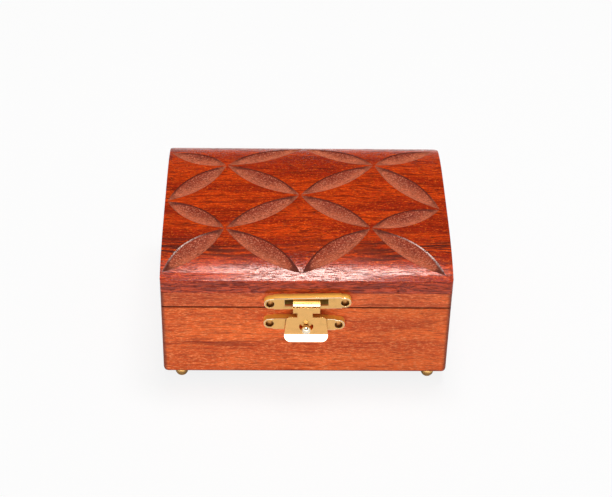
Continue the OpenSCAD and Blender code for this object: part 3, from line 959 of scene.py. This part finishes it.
for node, body in (("hasp_plate", "lid"), ("catch_plate", "base")):
    plate_low, plate_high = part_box(node)
    plate_bm = merged_copy(node)

    def plate_ease(edge):
        """The outline of the front is rolled over, holes are only eased."""
        if edge.calc_face_angle(0) < math.radians(35):
            return 0
        if max(vert.co.y for vert in edge.verts) > plate_low.y + same_place:
            return 0
        deepest = max(vert.co.y for face in edge.link_faces for vert in face.verts)
        return plate_roll if deepest > plate_high.y - same_place else hole_roll

    set_eases(plate_bm, plate_ease, plate_roll)
    # Faces in the nail dimples take the darker brass: painted shade.
    for face in plate_bm.faces:
        centre = face.calc_center_median()
        for place, head_r in nail_places(node + "_nails"):
            away = (Vector((centre.x, centre.z)) - place).length
            if away < head_r * dimple_reach and centre.y > plate_low.y + dimple_start:
                face.material_index = 1
    smooth_but_sharp(plate_bm, 40)
    plate = add_piece("pressed_" + node, plate_bm, body, [node], plate_brass)
    plate.data.materials.append(dimple_brass)
    plate.data.materials.append(bright_brass)
    # The rolled edges take the paler brass: a painted highlight.
    add_ease(plate, plate_roll, 5, slot_number=2)

# ---- Back of the slot ------------------------------------------------------------
# The strip of the lid's plate that lies on the rail behind its slot.  Its dull
# olive colour is painted shade, seen through the slot.

back_brass = polished_brass("slot_shade_brass", (0.22, 0.15, 0.035), 0.35, 8, 0.6)
back_edge = 0.015 * MM
back_size = Vector((15.8 * MM, 0.05 * MM, 4.45 * MM))
lid_plate_low, lid_plate_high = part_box("hasp_plate")
lid_plate_z = (lid_plate_low.z + lid_plate_high.z) / 2
back_middle = Vector((0.05 * MM, front_y - 0.035 * MM, lid_plate_z - 0.2 * MM))
back_bm = bmesh.new()
bmesh.ops.create_cube(back_bm, size=1)
bmesh.ops.scale(back_bm, vec=back_size, verts=back_bm.verts)
bmesh.ops.translate(back_bm, vec=back_middle, verts=back_bm.verts)
set_eases(back_bm, lambda edge: back_edge, back_edge)
smooth_but_sharp(back_bm)
slot_back = add_piece("slot_back", back_bm, "lid", [], back_brass)
add_ease(slot_back, back_edge, 2)

# ---- Plate nails and stud --------------------------------------------------------
# Round-headed brass nails, dulled in their dimples, and the turned ball stud
# that is riveted through the catch plate.

nail_brass = polished_brass("dull_nail_brass", (0.64, 0.31, 0.10), 0.42, 5, 0.5)
nail_shank_r = 0.5 * MM
FRONT = Vector((0, -1, 0))
for node, body in (("hasp_plate_nails", "lid"), ("catch_plate_nails", "base")):
    nails_low, nails_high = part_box(node)
    nail_long = nails_high.y - nails_low.y
    nails_bm = bmesh.new()
    for place, head_r in nail_places(node):
        profile = [
            (0, 0),
            (nail_shank_r, 0),
            (nail_shank_r, nail_long - 0.6 * MM),
            (head_r, nail_long - 0.6 * MM),
            (head_r, nail_long - 0.42 * MM),
            (head_r * 0.82, nail_long - 0.2 * MM),
            (head_r * 0.5, nail_long - 0.05 * MM),
            (0, nail_long),
        ]
        turned(nails_bm, profile, Vector((place.x, nails_high.y, place.y)), FRONT, 28)
    smooth_but_sharp(nails_bm, 50)
    add_piece("domed_" + node, nails_bm, body, [node], nail_brass)

stud_brass = polished_brass("stud_brass", (1.0, 0.90, 0.70), 0.04, 6)
stud_low, stud_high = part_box("catch_stud")
ball_r = (stud_high.x - stud_low.x) / 2
stud_long = stud_high.y - stud_low.y
stud_neck_r = 0.95 * MM
stud_profile = [
    (0, 0),
    (stud_neck_r, 0),
    (stud_neck_r, stud_long - 2 * ball_r - 0.5 * MM),
    (stud_neck_r, stud_long - 2 * ball_r + 0.2 * MM),
] + arc(ball_r, stud_long - ball_r, 145, 0, 26)
stud_foot = (stud_low + stud_high) / 2
stud_foot.y = stud_high.y
stud_bm = bmesh.new()
turned(stud_bm, stud_profile, stud_foot, FRONT)
smooth_but_sharp(stud_bm, 45)
add_piece("turned_catch_stud", stud_bm, "base", ["catch_stud"], stud_brass)

# ---- Hasp ------------------------------------------------------------------------
# A tongue of the same sheet, curled round the bar of the lid's plate, with a
# hole that drops over the stud and a flared lip to lift it by.

hasp_brass = polished_brass("hasp_brass", (0.88, 0.52, 0.18), 0.18, 7)
cut_ease = 0.14 * MM
lip_bend = 0.3 * MM
broad_face = 2 * MM * MM
hasp_bm = merged_copy("hasp")


def hasp_ease(edge):
    """Cut edges are eased, and the lip is folded over a round former."""
    folded = math.degrees(edge.calc_face_angle(0))
    if 38 < folded < 46 and edge.calc_length() > 5 * MM:
        return lip_bend
    return cut_ease if folded > 50 else 0


def paint_highlight_faces(bm):
    """Broad faces that slope up to the front take a paler brass: a painted highlight."""
    for face in bm.faces:
        slopes_up = 0.1 < face.normal.z < 0.72 and face.normal.y < -0.4
        if slopes_up and face.calc_area() > broad_face:
            face.material_index = 1


set_eases(hasp_bm, hasp_ease, lip_bend)
hasp_bm.normal_update()
# Faces sloping up to the front get the painted highlight.
paint_highlight_faces(hasp_bm)
smooth_but_sharp(hasp_bm, 35)
hasp = add_piece("curled_hasp", hasp_bm, "hasp", ["hasp"], hasp_brass)
hasp.data.materials.append(bright_brass)
add_ease(hasp, lip_bend, 6)

# ---- End of the curl ----------------------------------------------------------
# The hasp's sheet isn't rolled quite round at its end, which stands up from
# the curl's top in two narrow flats.

pivot = Vector(frame["joints"][1]["pos_m"])
lean = Matrix.Rotation(math.radians(4.4), 4, "X")
end_outline = [
    (-1.80, 1.43),
    (-1.41, 1.92),
    (-0.85, 2.21),
    (-0.20, 2.34),
    (0.60, 2.23),
    (0.45, 2.08),
    (-0.90, 1.90),
    (-1.50, 1.45),
]
end_w = 9.4 * MM
fold_ease = 0.3 * MM
end_cut_ease = 0.1 * MM
end_bm = bmesh.new()
end_verts = [
    end_bm.verts.new(pivot + lean @ Vector((-end_w / 2, y * MM, z * MM)))
    for y, z in end_outline
]
end_face = end_bm.faces.new(end_verts)
drawn_out = bmesh.ops.extrude_face_region(end_bm, geom=[end_face])["geom"]
far_verts = [part for part in drawn_out if isinstance(part, bmesh.types.BMVert)]
bmesh.ops.translate(end_bm, verts=far_verts, vec=(end_w, 0, 0))
bmesh.ops.recalc_face_normals(end_bm, faces=end_bm.faces)


def end_ease(edge):
    """Folds along the end are rounded, its cut edges only eased."""
    along = abs(edge.verts[0].co.x - edge.verts[1].co.x) > MM
    high = edge.verts[0].co.z > pivot.z + 2.0 * MM
    return fold_ease if along and high else end_cut_ease


set_eases(end_bm, end_ease, fold_ease)
end_bm.normal_update()
# Faces sloping up to the front get the painted highlight.
paint_highlight_faces(end_bm)
smooth_but_sharp(end_bm, 35)
curl_end = add_piece("curl_end", end_bm, "hasp", [], plate_brass)
curl_end.data.materials.append(bright_brass)
add_ease(curl_end, fold_ease, 5)
